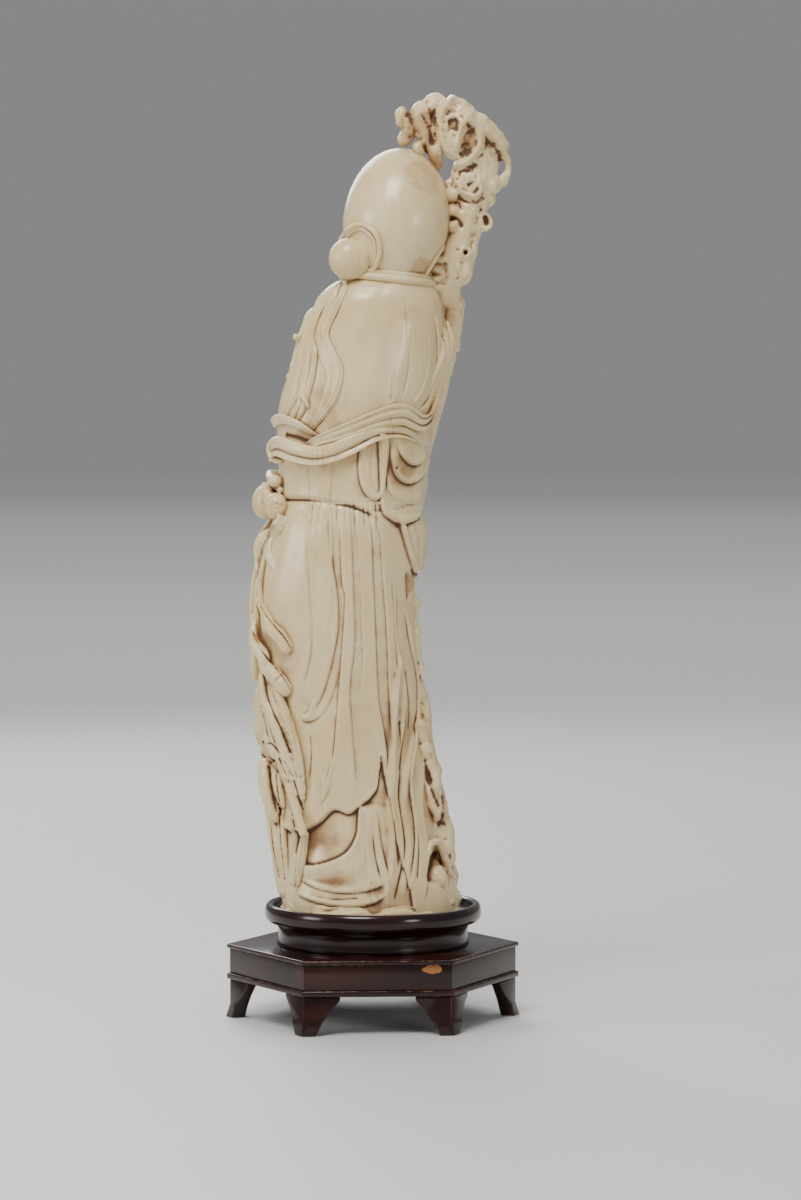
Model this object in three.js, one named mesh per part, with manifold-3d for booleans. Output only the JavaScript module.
// A carved ivory figure of an old dignitary with a gnarled staff, on a hexagonal hardwood stand.
// Millimetres, +Z up, origin on the floor under the middle of the stand.
// The figure faces -Y, so its own left hand is towards +X and its back is towards +Y.
import * as THREE from "three";
import { mergeVertices } from "three/addons/utils/BufferGeometryUtils.js";
import Module from "manifold-3d";

// Driving dimensions of the stand
const CORNER_R = 100; // hexagon, centre to corner
const FOOT_H = 26;
const MOULDING_H = 4;
const FRIEZE_H = 17;
const BOARD_H = 3;
const FRIEZE_INSET = 2.2;
const NECK_R = 65;
const LIP_R = 74;
const NECK_H = 16;
const LIP_H = 12;
const RECESS_R = 67.5;
const RECESS_DEPTH = 9;
const FOOT_TOP = 24; // length of a bracket's wing under the moulding
const FOOT_TOE = 9; // and at the floor
const FOOT_THICK = 7;
const TOE_FLARE = 3;
const TOE_H = 9;
const REST_GAP = 0.3;
const BOARD_TOP = FOOT_H + MOULDING_H + FRIEZE_H + BOARD_H;
const LIP_TOP = BOARD_TOP + NECK_H + LIP_H;
const IVORY_FLOOR = LIP_TOP - RECESS_DEPTH + REST_GAP;

// Driving dimensions of the figure. A height is measured from the floor.
const BELT_Z = 349;
const SHOULDER_Z = 503;
const HEAD_CENTRE = new THREE.Vector3(-16.4, 0, 542);
const HEAD_HALF = new THREE.Vector3(36, 38, 50);
const HEAD_YAW = 25; // the face turns away from the staff
const HEAD_TILT = -11; // and the dome leans towards it
const STAFF_GRIP = new THREE.Vector3(-54, -17, 462);

// The robe as a bent tusk: height, centre x, half width, half depth
const TRUNK = [
  [IVORY_FLOOR, 2, 60, 53],
  [84, 3, 59, 52],
  [114, 8, 54, 48],
  [148, 12, 51, 46],
  [216, 20, 50, 44],
  [284, 24, 51, 43],
  [330, 18, 50, 41],
  [352, 13, 49, 40],
  [386, 13, 52, 41],
  [420, 9, 54, 41],
  [454, 1, 50, 39],
  [478, -3, 45, 36],
  [492, -5, 40, 32],
  [500, -8, 33, 26],
  [SHOULDER_Z, -10, 27, 21],
  [509, -12, 16, 13],
];

const IVORY = new THREE.MeshStandardMaterial({ color: 0xded0b2, roughness: 0.35, metalness: 0 });
const ROSEWOOD = new THREE.MeshStandardMaterial({ color: 0x35120f, roughness: 0.3, metalness: 0 });

const { clamp, degToRad, lerp, smoothstep } = THREE.MathUtils;
const wasm = await Module();
wasm.setup();

// A closed three.js geometry as a solid, with its doubled vertices merged.
function solid(geometry) {
  const bare = geometry.index ? geometry.toNonIndexed() : geometry.clone();
  bare.deleteAttribute("normal");
  bare.deleteAttribute("uv");
  const merged = mergeVertices(bare, 1e-3);
  const kept = [];
  const index = merged.index.array;
  for (let i = 0; i < index.length; i += 3) {
    const [a, b, c] = index.slice(i, i + 3);
    if (a !== b && b !== c && a !== c) kept.push(a, b, c);
  }
  const mesh = new wasm.Mesh({
    numProp: 3,
    vertProperties: merged.attributes.position.array,
    triVerts: new Uint32Array(kept),
  });
  return new wasm.Manifold(mesh);
}

function union(solids) {
  return solids.reduce((whole, next) => whole.add(next));
}

// Drops the small sealed hollows that joined folds can leave inside.
function outerBody(made) {
  const bodies = made.decompose();
  return bodies.reduce((best, body) => (body.volume() > best.volume() ? body : best));
}

function node(name, made, material) {
  const mesh = made.getMesh();
  const geometry = new THREE.BufferGeometry();
  const position = new Float32Array(mesh.numVert * 3);
  for (let i = 0; i < mesh.numVert; i += 1) {
    position.set(mesh.vertProperties.subarray(i * mesh.numProp, i * mesh.numProp + 3), i * 3);
  }
  geometry.setAttribute("position", new THREE.BufferAttribute(position, 3));
  geometry.setIndex(new THREE.BufferAttribute(mesh.triVerts, 1));
  geometry.computeVertexNormals();
  const shown = new THREE.Mesh(geometry, material);
  shown.name = name;
  return shown;
}

// Moves every vertex of a geometry by a rule.
function shaped(geometry, rule) {
  const position = geometry.attributes.position;
  const v = new THREE.Vector3();
  for (let i = 0; i < position.count; i += 1) {
    v.fromBufferAttribute(position, i);
    rule(v);
    position.setXYZ(i, v.x, v.y, v.z);
  }
  return geometry;
}

// One column of a table of rows, read smoothly between its first column's keys.
function between(rows, key, column) {
  const last = rows.length - 1;
  if (key <= rows[0][0]) return rows[0][column];
  if (key >= rows[last][0]) return rows[last][column];
  const i = rows.findIndex((row) => row[0] > key) - 1;
  const share = (key - rows[i][0]) / (rows[i + 1][0] - rows[i][0]);
  const slope = (n) => {
    const [a, b] = [rows[Math.max(n - 1, 0)], rows[Math.min(n + 1, last)]];
    return (b[column] - a[column]) / (b[0] - a[0]);
  };
  const gap = rows[i + 1][0] - rows[i][0];
  const s2 = share * share;
  const s3 = s2 * share;
  return (
    (2 * s3 - 3 * s2 + 1) * rows[i][column] +
    (s3 - 2 * s2 + share) * gap * slope(i) +
    (3 * s2 - 2 * s3) * rows[i + 1][column] +
    (s3 - s2) * gap * slope(i + 1)
  );
}

const wrap = (degrees) => ((((degrees + 180) % 360) + 360) % 360) - 180;
const ridge = (distance, width) => Math.exp(-((distance / width) ** 2));
const rise = (distance, width) => smoothstep(distance, -width, width);

// Angle round the trunk, in degrees: 0 at the figure's left, 90 at its back, -90 at its front.
function angleAt(x, z, side) {
  const across = (x - between(TRUNK, z, 1)) / between(TRUNK, z, 2);
  return side * THREE.MathUtils.radToDeg(Math.acos(clamp(across, -1, 1)));
}

// A point on the trunk's plain surface, lifted outwards. side is 1 at the back and -1 at the front.
function onTrunk(x, z, side, lift = 0) {
  const angle = degToRad(angleAt(x, z, side));
  const [cx, a, b] = [1, 2, 3].map((column) => between(TRUNK, z, column));
  return new THREE.Vector3(cx + (a + lift) * Math.cos(angle), (b + lift) * Math.sin(angle), z);
}
const back = (x, z, lift) => onTrunk(x, z, 1, lift);
const front = (x, z, lift) => onTrunk(x, z, -1, lift);

// Carved folds

const BACK = 1;
const FRONT = -1;
const MM_PER_DEGREE = 0.85; // round the trunk's girth

// A fold: the side it is on, its line as [x, z] pairs seen from behind, its half width and its height.
function fold(side, line, width, height) {
  const points = line.map(([x, z]) => [angleAt(x, z, side), z]);
  return { points, width, height };
}

// Several folds spread evenly from one line to another.
function fan(count, side, first, last, width, height) {
  return Array.from({ length: count }, (_, i) => {
    const share = count > 1 ? i / (count - 1) : 0;
    const line = first.map(([x, z], k) => [lerp(x, last[k][0], share), lerp(z, last[k][1], share)]);
    return fold(side, line, width, height);
  });
}

// Nested hanging curves between two points, each lower and wider than the one before.
function swags(count, side, [x, z], [reach, drop], width, height) {
  return Array.from({ length: count }, (_, i) => {
    const grow = (i + 1) / count;
    const line = [-1, -0.6, 0, 0.6, 1].map((u) => [
      x + u * reach * (0.55 + 0.45 * grow),
      z - drop * grow * (1 - u * u) - (i * drop) / (3 * count),
    ]);
    return fold(side, line, width, height);
  });
}

const FOLDS = [
  // long pleats of the skirt, from the belt to the hem
  ...fan(3, BACK, [[34, 345], [36, 280], [42, 200], [46, 135]], [[18, 347], [20, 280], [14, 200], [22, 155]], 2.6, 1.9),
  ...fan(3, BACK, [[12, 346], [12, 270], [6, 190], [4, 156]], [[-2, 343], [-3, 270], [-8, 210], [-12, 178]], 2.6, 1.9),
  ...fan(3, BACK, [[-9, 338], [-8, 260], [-14, 170], [-20, 80]], [[-25, 318], [-24, 240], [-32, 160], [-36, 84]], 3.2, 3),
  // hanging curves under the pods
  ...swags(2, BACK, [44, 236], [15, 26], 3, 2.4),
  // the under-skirt's one great swag and its hem
  ...swags(2, BACK, [28, 138], [26, 40], 4, 3),
  fold(BACK, [[48, 84], [24, 79], [0, 84], [-16, 96]], 4, 3),
  // locks falling behind the left shoulder
  ...fan(3, BACK, [[25, 496], [46, 462], [56, 430], [55, 402]], [[14, 494], [30, 458], [26, 430], [38, 396]], 3, 2.3),
  // folds of the raised sleeve
  ...swags(3, BACK, [-24, 388], [13, 30], 3, 2.4),
  ...fan(2, BACK, [[-38, 452], [-36, 425], [-22, 404]], [[-46, 448], [-44, 415], [-34, 392]], 3, 2.6),
  // the front: crossed collar, skirt pleats, sash tails and hem
  ...fan(2, FRONT, [[20, 500], [12, 450], [-6, 400], [-16, 360]], [[30, 495], [24, 450], [10, 400], [-2, 360]], 3, 2.6),
  fold(FRONT, [[-34, 492], [-26, 450], [-6, 405]], 3, 2.6),
  ...fan(5, FRONT, [[-20, 340], [-18, 240], [-26, 160], [-34, 88]], [[58, 335], [60, 240], [50, 160], [44, 88]], 3.4, 2.8),
  ...swags(2, FRONT, [18, 170], [26, 30], 3.4, 2.4),
];

function distanceTo(points, angle, z) {
  let best = Infinity;
  let along = 0;
  for (let i = 0; i + 1 < points.length; i += 1) {
    const [a0, z0] = points[i];
    const [a1, z1] = points[i + 1];
    const [dx, dz] = [wrap(a1 - a0) * MM_PER_DEGREE, z1 - z0];
    const [px, pz] = [wrap(angle - a0) * MM_PER_DEGREE, z - z0];
    const share = clamp((px * dx + pz * dz) / (dx * dx + dz * dz), 0, 1);
    const far = Math.hypot(px - share * dx, pz - share * dz);
    if (far < best) {
      best = far;
      along = (i + share) / (points.length - 1);
    }
  }
  return [best, along];
}

// The scarf behind the waist is two waves; each gives its height at an angle.
const upperScarf = (angle) => 403 - 12 * Math.cos(degToRad(((angle - 69) * 360) / 102));
const lowerScarf = (angle) => 388.5 - 11.5 * Math.cos(degToRad(((angle - 74) * 360) / 100));

// Lower edges of the layers of cloth: angle, height
const SKIRT_HEM = [[-180, 150], [-120, 146], [-90, 138], [-45, 150], [0, 140], [45, 126], [61, 136], [77, 152], [98, 152], [108, 160], [118, 177], [128, 190], [150, 188], [180, 150]];
const SLEEVE_HEM = [[96, 392], [101, 366], [105, 354], [110, 350], [114, 352], [120, 341], [128, 337], [138, 338], [146, 326], [156, 304], [168, 300], [180, 306]];

// How far the carved cloth stands out from the plain trunk.
function relief(angle, z) {
  let out = 0;
  out += 3 * rise(z - between(SKIRT_HEM, angle, 1), 2);
  out += 2.4 * rise(z - BELT_Z + 3 * Math.cos(degToRad(angle - 40)), 2);
  if (angle > 14 && angle < 152) {
    const fade = smoothstep(angle, 14, 30) * (1 - smoothstep(angle, 138, 152));
    out += 4.5 * fade * Math.max(ridge(z - upperScarf(angle), 5), ridge(z - lowerScarf(angle), 5.5));
  }
  if (angle > 96) {
    const inside = rise(z - between(SLEEVE_HEM, angle, 1), 2) * (1 - rise(z - 400, 12));
    out += 4.5 * inside * smoothstep(angle, 96, 104);
  }
  for (const { points, width, height } of FOLDS) {
    const [far, along] = distanceTo(points, angle, z);
    if (far < 3 * width) {
      const taper = smoothstep(along, 0, 0.08) * (1 - smoothstep(along, 0.9, 1));
      out += 1.35 * height * taper * ridge(far, 1.2 * width);
    }
  }
  return out;
}

// Heights of the robe's rings: close together where layers of cloth overlap
function ringHeights() {
  const spans = [[IVORY_FLOOR, 96, 2], [96, 200, 5], [200, 330, 4], [330, 424, 12], [424, 490, 3], [490, 509, 2]];
  return spans
    .flatMap(([low, high, count]) => Array.from({ length: count }, (_, i) => lerp(low, high, i / count)))
    .concat(509);
}

function robe() {
  const around = 46;
  const heights = ringHeights();
  const rings = heights.length - 1;
  return solid(
    shaped(new THREE.CylinderGeometry(1, 1, 1, around, rings), (v) => {
      const z = heights[Math.round((v.y + 0.5) * rings)];
      const radius = Math.hypot(v.x, v.z);
      const angle = radius < 1e-6 ? 0 : Math.atan2(v.x, v.z);
      const [cx, a, b] = [1, 2, 3].map((column) => between(TRUNK, z, column));
      const out = relief(THREE.MathUtils.radToDeg(angle), z);
      v.set(cx + radius * (a + out) * Math.cos(angle), radius * (b + out) * Math.sin(angle), z);
    }),
  );
}

// Smaller forms

// A tapering limb along a smooth curve; radii are read evenly along it, and its ends are rounded.
// squash flattens its section across the given direction, and bumps adds to its radius.
function limb(points, radii, { around = 6, steps = 4, squash = 1, across = null, bumps = null } = {}) {
  const curve = new THREE.CatmullRomCurve3(points.map((p) => (p.isVector3 ? p : new THREE.Vector3(...p))));
  const frames = curve.computeFrenetFrames(steps, false);
  const rows = radii.map((radius, i) => [i / (radii.length - 1), radius]);
  const spread = new THREE.Vector3();
  return solid(
    shaped(new THREE.CylinderGeometry(1, 1, 1, around, steps), (v) => {
      const i = Math.round((0.5 - v.y) * steps);
      const t = i / steps;
      const onAxis = Math.hypot(v.x, v.z) < 1e-6;
      const angle = onAxis ? 0 : Math.atan2(v.z, v.x);
      let radius = onAxis ? 0 : between(rows, t, 1);
      if (bumps && !onAxis) radius += bumps(t, angle);
      const normal = across ? new THREE.Vector3(...across) : frames.normals[i].clone();
      if (across) normal.addScaledVector(frames.tangents[i], -normal.dot(frames.tangents[i])).normalize();
      const side = new THREE.Vector3().crossVectors(frames.tangents[i], normal);
      spread.copy(normal).multiplyScalar(radius * squash * Math.cos(angle));
      spread.addScaledVector(side, radius * Math.sin(angle));
      v.copy(curve.getPoint(t)).add(spread);
    }),
  );
}

// An egg-shaped mass.
function mass(centre, half, { around = 6, rings = 4, turn = [0, 0, 0], rule = null } = {}) {
  const geometry = new THREE.SphereGeometry(1, around, rings);
  geometry.rotateX(Math.PI / 2);
  if (rule) shaped(geometry, rule);
  geometry.scale(...(Array.isArray(half) ? half : [half, half, half]));
  geometry.rotateX(degToRad(turn[0])).rotateY(degToRad(turn[1])).rotateZ(degToRad(turn[2]));
  geometry.translate(...(centre.isVector3 ? centre.toArray() : centre));
  return solid(geometry);
}

// Head, in its own frame first: it looks along -Y
function headPoint(x, y, z) {
  const v = new THREE.Vector3(x, y, z);
  v.applyEuler(new THREE.Euler(degToRad(6), degToRad(HEAD_TILT), 0));
  v.applyAxisAngle(new THREE.Vector3(0, 0, 1), degToRad(HEAD_YAW));
  return v.add(HEAD_CENTRE);
}

function headMass(centre, half, options) {
  const made = mass([0, 0, 0], half, options);
  const [cx, cy, cz] = centre;
  return made.warp((p) => {
    const v = headPoint(p[0] + cx, p[1] + cy, p[2] + cz);
    [p[0], p[1], p[2]] = v.toArray();
  });
}

function head() {
  const skull = headMass([0, 0, 0], HEAD_HALF.toArray(), {
    around: 16,
    rings: 10,
    rule: (v) => {
      const low = smoothstep(-v.z, 0.1, 1);
      v.x *= 1 - 0.12 * low;
      v.y *= v.y < 0 ? 1 - 0.1 * low : 1 - 0.2 * low;
    },
  });
  const parts = [skull];
  for (const side of [1, -1]) {
    parts.push(
      headMass([side * 13, -30, -13], [11, 6, 3.4], { around: 6, rings: 4 }),
      headMass([side * 17, -23, -24], [11, 10, 9]),
      headMass([side * 34, 0, -13], [6, 10, 16], { turn: [0, side * 10, 0] }),
      headMass([side * 29, 6, -31], [12, 11.5, 13.4], { around: 8, rings: 6 }),
    );
  }
  parts.push(
    limb([headPoint(0, -33, -8), headPoint(0, -39, -20), headPoint(0, -38, -26)], [3, 5.5, 5], { steps: 4 }),
    headMass([0, -31, -34], [9, 6, 3], { around: 6, rings: 4 }),
    headMass([0, -27, -43], [12, 9, 8]),
  );
  return union(parts);
}

function collar() {
  const ring = Array.from({ length: 9 }, (_, i) => {
    const turn = (i / 8) * 2 * Math.PI;
    return [-12 + 28 * Math.cos(turn), 21 * Math.sin(turn), 503 + 4 * Math.cos(turn)];
  });
  return union([limb(ring.slice(0, 5), [4, 4, 4], { around: 5, steps: 6 }), limb(ring.slice(4), [4, 4, 4], { around: 5, steps: 6 })]);
}

function beard() {
  const chin = headPoint(0, -27, -36);
  return limb([chin, front(-2, 478, 8), front(2, 440, 7), front(6, 400, 3)], [13, 17, 13, 2], {
    around: 10,
    steps: 5,
    squash: 0.5,
    across: [0.25, -1, 0],
    bumps: (t, angle) => 1.2 * Math.cos(6 * angle) * t,
  });
}

// The gnarled staff, with its fungus-like curled head over the skull
function staff() {
  const knots = (t, angle) => 2.2 * Math.sin(34 * t + angle) + 1.6 * Math.cos(19 * t - 3 * angle);
  const shaft = limb(
    [[-42, -40, 76], [-28, -42, 150], [-22, -42, 300], [-40, -34, 400], STAFF_GRIP, [-56, -4, 492]],
    [7, 6, 5, 5, 6, 8],
    { around: 5, steps: 8, bumps: (t, angle) => 0.25 * knots(t, angle) },
  );
  const root = limb(
    [[-54, -4, 484], [-57, 1, 510], [-66, 2, 540], [-72, 2, 566], [-76, 0, 590], [-66, 0, 602], [-48, 2, 612], [-30, 2, 613]],
    [8, 12, 13, 16, 18, 17, 15, 9],
    { around: 8, steps: 15, squash: 0.72, across: [0, 1, 0], bumps: knots },
  );
  const curl = Array.from({ length: 8 }, (_, i) => {
    const turn = degToRad(-40 + i * 47);
    const radius = 17 - 1.3 * i;
    return [-58 - radius * Math.cos(turn) * 0.8, 13 + i * 0.4, 598 + radius * Math.sin(turn) * 1.15];
  });
  const knob = (x, y, z, r) => mass([x, y, z], [r, r * 0.8, r], { around: 5, rings: 4 });
  return union([
    shaft,
    root,
    limb(curl, [6, 5.5, 4, 2.5], { around: 5, steps: 8 }),
    limb([[-19, -4, 616], [-26, -6, 606], [-27, -6, 588], [-36, -6, 578]], [7, 9, 9, 7]),
    mass([-23, -4, 612], [10, 7, 9]),
    limb([[-14, -4, 594], [-24, -3, 590]], [5, 6], { steps: 2 }),
    knob(-96, 0, 584, 8),
    knob(-87, 2, 560, 7),
    knob(-52, 4, 512, 7),
  ]);
}

// A hand closed round something upright or level
function hand(centre, reach, size) {
  const [cx, cy, cz] = centre;
  const fingers = Array.from({ length: 4 }, (_, i) => {
    const z = cz + size * (0.75 - 0.5 * i);
    return limb(
      [[cx, cy, z], [cx + reach[0] * 0.7, cy + reach[1] * 0.7, z], [cx + reach[0], cy + reach[1], z - 1]],
      [2.6, 2.6, 2],
      { steps: 1, around: 5 },
    );
  });
  return union([mass(centre, [size, size, size * 1.15]), ...fingers]);
}

function rightArm() {
  return union([
    limb([[-36, -12, 486], [-44, -18, 455], [-42, -30, 436], [-50, -26, 452]], [12, 12.5, 12, 10]),
    hand([-50, -24, 461], [-12, -2], 8),
    // the cuff and the long fall of the sleeve below it
    limb([[-47, -8, 468], [-48, -4, 450], [-37, 0, 404], [-28, 2, 350], [-25, 4, 306]], [7, 11, 10, 10, 4], {
      around: 7,
      steps: 6,
      squash: 0.7,
      across: [1, 0, 0],
      bumps: (t, angle) => 1.2 * Math.cos(3 * angle + 6 * t),
    }),
  ]);
}

function leftArm() {
  return union([
    limb([[32, -8, 484], [41, -15, 450], [49, -24, 406], [50, -42, 374]], [11, 13, 14, 11]),
    hand([50, -50, 372], [12, -2], 8),
    limb([[48, -44, 384], [54, -44, 350], [54, -42, 310], [46, -42, 272]], [9, 14, 12, 3], {
      around: 8,
      steps: 5,
      squash: 0.6,
      across: [0.3, -1, 0],
      bumps: (t, angle) => 1.4 * Math.cos(4 * angle),
    }),
  ]);
}

// A leaf along a curve, flat against the robe
function leaf(points, half) {
  return limb(points, [1.5, half, half * 0.8, 0.8], { steps: 4, squash: 0.4, across: [0.4, 1, 0] });
}

function fruitBranch() {
  const parts = [
    mass([66, 10, 366], 5.6),
    mass([71, -4, 350], [10, 11, 12], { around: 8, rings: 6 }),
    mass([65, 12, 349], [8.5, 8, 10], { turn: [0, 20, 0] }),
    mass([63, -22, 355], [9, 9, 10]),
    limb([[54, -48, 366], [68, -30, 372], [69, -8, 366], [60, 12, 358]], [3, 3.4, 3.4, 3]),
    leaf([[67, 8, 330], [71, 14, 318], [66, 20, 306], [58, 27, 297]], 5),
    leaf([[71, 2, 334], [77, 6, 322], [78, 4, 308]], 5),
    leaf([[66, -12, 344], [77, -14, 322], [72, -12, 300]], 6),
    limb([[76, 2, 312], [79, 2, 290], [79, 4, 270], [78, 6, 250]], [3, 4, 4.4, 4]),
  ];
  return union(parts);
}

// Two horn-shaped pods hanging behind the left hip
function pods() {
  return union([
    limb([back(74, 282, 2), back(70, 270, 4), back(62, 260, 4), back(56, 246, 3)], [3.4, 4.6, 5.6, 5.8]),
    mass(back(73, 284, 4), 4),
    limb([[80, 8, 262], [78, 20, 248], back(66, 236, 4), back(58, 226, 4), back(53, 217, 3)], [4.4, 5, 6, 6, 5.4]),
    mass([82, 4, 264], 4),
    mass([81, -4, 240], [5, 9, 14]),
  ]);
}

// The small attendant who stands against the figure's left side
function attendant() {
  const parts = [
    limb([[52, -12, 72], [59, -11, 96], [66, -9, 140], [67, -8, 190], [69, -10, 228]], [11, 15, 16, 16, 9], {
      around: 10,
      steps: 6,
      bumps: (t, angle) => (1 - t) * 1.6 * Math.cos(5 * angle),
    }),
    mass([72, -17, 235], [11, 12, 14], { around: 8, rings: 6 }),
    mass([71, -20, 251], 5),
    // sleeve, hand and the scroll it holds
    limb([[73, -4, 214], [74, 10, 196], [66, 19, 180]], [8, 8, 6]),
    mass([61, 22, 178], [5, 4, 6], { turn: [0, -30, 0] }),
    limb([[56, 27, 166], [47, 31, 122]], [4, 4.4], { steps: 1 }),
    limb([[74, 8, 190], [73, 12, 165], [70, 12, 140]], [7, 8, 4], { steps: 4 }),
    limb([[72, -22, 214], [74, -26, 192], [66, -32, 178]], [7, 8, 5]),
  ];
  return union(parts);
}

// The pierced rock that rises behind the right of the skirt
function rock() {
  const lumps = (t, angle) => 2 * Math.sin(26 * t + 2 * angle) + 1.5 * Math.cos(41 * t - angle);
  return union([
    limb([[-47, 8, 76], [-47, 6, 114], [-37, 6, 160], [-29, 6, 210], [-26, 6, 250], [-24, 6, 292]], [12, 12, 10, 8, 7, 5], {
      around: 6,
      steps: 10,
      bumps: lumps,
    }),
    limb([[-40, 24, 78], [-42, 26, 98], [-41, 24, 116]], [11, 9, 5], { steps: 3 }),
    mass([-40, -26, 92], [20, 16, 18]),
  ]);
}

// Waves of rock under the hem
function ground() {
  const bumps = (angle) => 1.6 * Math.sin(7 * angle) + 1.2 * Math.cos(11 * angle + 1);
  return solid(
    shaped(new THREE.CylinderGeometry(1, 1, 1, 18, 1), (v) => {
      const radius = Math.hypot(v.x, v.z);
      const angle = radius < 1e-6 ? 0 : Math.atan2(v.x, v.z);
      const level = v.y + 0.5;
      const reach = radius * (62 + bumps(angle) - 5 * level * level);
      const top = IVORY_FLOOR + 10 + 0.6 * bumps(angle);
      v.set(2 + reach * Math.cos(angle), 0.95 * reach * Math.sin(angle), lerp(IVORY_FLOOR, top, level));
    }),
  );
}

function shoes() {
  return union([-14, 20].map((x) => mass([x, -55, IVORY_FLOOR + 10], [10, 12, 7])));
}

function ivoryFigure() {
  const makers = [
    robe, head, collar, beard, staff, rightArm, leftArm, fruitBranch, pods, attendant, rock, ground, shoes,
  ];
  const all = union(makers.map((make) => make()));
  // its underside is sawn flat, and its foot is trimmed round to drop into the socket
  const saw = new THREE.BoxGeometry(400, 400, 100).translate(0, 0, IVORY_FLOOR - 50);
  const trim = RECESS_R - REST_GAP;
  const ring = [[trim, IVORY_FLOOR - 5], [120, IVORY_FLOOR - 5], [120, LIP_TOP + REST_GAP], [trim, LIP_TOP + REST_GAP]];
  const rim = new THREE.LatheGeometry([...ring, ring[0]].map(([r, z]) => new THREE.Vector2(r, z)), 48);
  const cut = solid(rim.rotateX(Math.PI / 2));
  return outerBody(all.subtract(solid(saw)).subtract(cut));
}

// Stand

const hexagon = (radius, height, z) => {
  const plate = new THREE.CylinderGeometry(radius, radius, height, 6);
  return solid(plate.rotateX(Math.PI / 2).rotateZ(Math.PI / 2).translate(0, 0, z + height / 2));
};

function platform() {
  return union([
    hexagon(CORNER_R, MOULDING_H, FOOT_H),
    hexagon(CORNER_R - FRIEZE_INSET, FRIEZE_H + 1, FOOT_H + MOULDING_H - 0.5),
    hexagon(CORNER_R, BOARD_H, BOARD_TOP - BOARD_H),
  ]);
}

function socket() {
  const middle = LIP_TOP - LIP_H / 2;
  const crown = (RECESS_R + LIP_R) / 2;
  const outline = new THREE.Path();
  outline.moveTo(0, BOARD_TOP);
  outline.lineTo(NECK_R, BOARD_TOP);
  outline.lineTo(NECK_R - 1, BOARD_TOP + NECK_H - 3);
  outline.lineTo(crown, LIP_TOP - LIP_H);
  outline.absellipse(crown, middle, LIP_R - crown, LIP_H / 2, -Math.PI / 2, Math.PI / 2);
  outline.lineTo(RECESS_R + 0.6, LIP_TOP - 0.5);
  outline.lineTo(RECESS_R, LIP_TOP - 2);
  outline.lineTo(RECESS_R, LIP_TOP - RECESS_DEPTH);
  outline.lineTo(0, LIP_TOP - RECESS_DEPTH);
  const points = outline.getPoints(3);
  return solid(new THREE.LatheGeometry(points, 28).rotateX(Math.PI / 2));
}

// A corner bracket: two wings that meet under a corner of the hexagon, with a flared toe
function foot(index) {
  const profile = new THREE.Shape();
  profile.moveTo(0, FOOT_H - REST_GAP);
  profile.lineTo(FOOT_TOP, FOOT_H - REST_GAP);
  profile.lineTo(FOOT_TOP, FOOT_H - 2.5);
  profile.quadraticCurveTo(FOOT_TOE + 5, FOOT_H * 0.5, FOOT_TOE, 0);
  profile.lineTo(0, 0);
  profile.lineTo(0, TOE_H);
  const wings = [1, -1].map((side) => {
    const board = new THREE.ExtrudeGeometry(profile, { depth: FOOT_THICK, bevelEnabled: false, curveSegments: 3 });
    board.rotateX(Math.PI / 2);
    if (side > 0) board.translate(0, FOOT_THICK, 0);
    return solid(board.rotateZ(degToRad(180 - side * 60)));
  });
  const turn = degToRad(index * 60);
  const [c, s] = [Math.cos(turn), Math.sin(turn)];
  return union(wings).warp((p) => {
    const flare = p[0] > -FOOT_THICK && p[2] < TOE_H - 0.1 ? TOE_FLARE : 0;
    const x = p[0] + CORNER_R - FRIEZE_INSET + flare;
    [p[0], p[1]] = [x * c - p[1] * s, x * s + p[1] * c];
  });
}

const part = new THREE.Group();
part.add(node("ivory_figure", ivoryFigure(), IVORY));
part.add(node("stand_socket", socket(), ROSEWOOD));
part.add(node("stand_platform", platform(), ROSEWOOD));
for (let i = 0; i < 6; i += 1) part.add(node(`stand_foot_${i + 1}`, foot(i), ROSEWOOD));

export default part;
